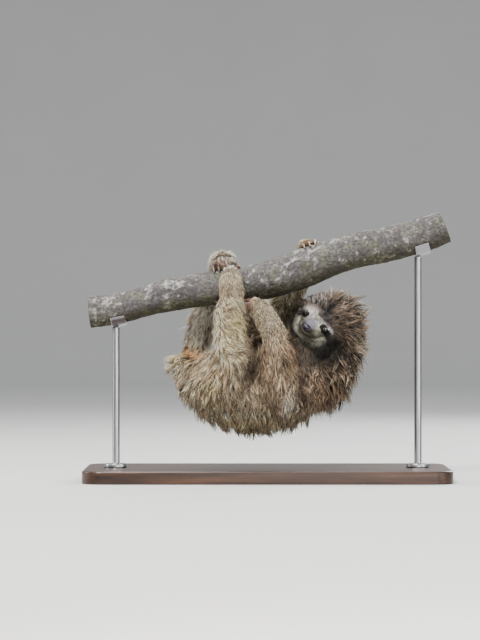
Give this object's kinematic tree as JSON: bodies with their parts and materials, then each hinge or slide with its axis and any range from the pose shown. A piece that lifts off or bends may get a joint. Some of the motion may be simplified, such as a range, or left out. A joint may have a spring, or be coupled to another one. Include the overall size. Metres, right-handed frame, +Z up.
{
  "type": "three-toed sloth",
  "caption": "Young three-toed sloth hanging belly-up under a cut branch with its head turned to the side, on a flat base with rods.",
  "frame": {"origin": "the middle of the display base's underside, on the floor", "axes": "+Z is up; +X runs along the branch, towards the sloth's head; -Y is towards the side that its face and its left limbs are on"},
  "size_m": [0.4021, 0.172, 0.2948],
  "materials": {
    "coat": "long coarse fur, matt",
    "face": "short smooth fur, matt",
    "nose": "moist bare skin, satin",
    "eye": "polished, glossy",
    "claw": "horn, satin",
    "bark": "rough bark with lichen, matt",
    "stand_wood": "dark stained, satin lacquer",
    "stand_metal": "brushed"
  },
  "bodies": {
    "root": {"stand_base": "stand_wood", "branch": "bark", "stand_saddle_left": "stand_metal", "stand_saddle_right": "stand_metal", "stand_rod_left": "stand_metal", "stand_rod_right": "stand_metal", "eye_left": "eye", "eye_right": "eye", "nose": "nose", "head": "face", "trunk": "coat", "neck": "coat", "tail": "coat", "thigh_left": "coat", "shank_left": "coat", "foot_left": "coat", "thigh_right": "coat", "shank_right": "coat", "foot_right": "coat", "upper_arm_left": "coat", "forearm_left": "coat", "hand_left": "coat", "upper_arm_right": "coat", "forearm_right": "coat", "hand_right": "coat", "claw_foot_left_1": "claw", "claw_foot_left_2": "claw", "claw_foot_left_3": "claw", "claw_foot_right_1": "claw", "claw_foot_right_2": "claw", "claw_foot_right_3": "claw", "claw_hand_right_1": "claw", "claw_hand_right_2": "claw", "claw_hand_right_3": "claw", "claw_hand_left_1": "claw", "claw_hand_left_2": "claw", "claw_hand_left_3": "claw"}
  },
  "joints": []
}
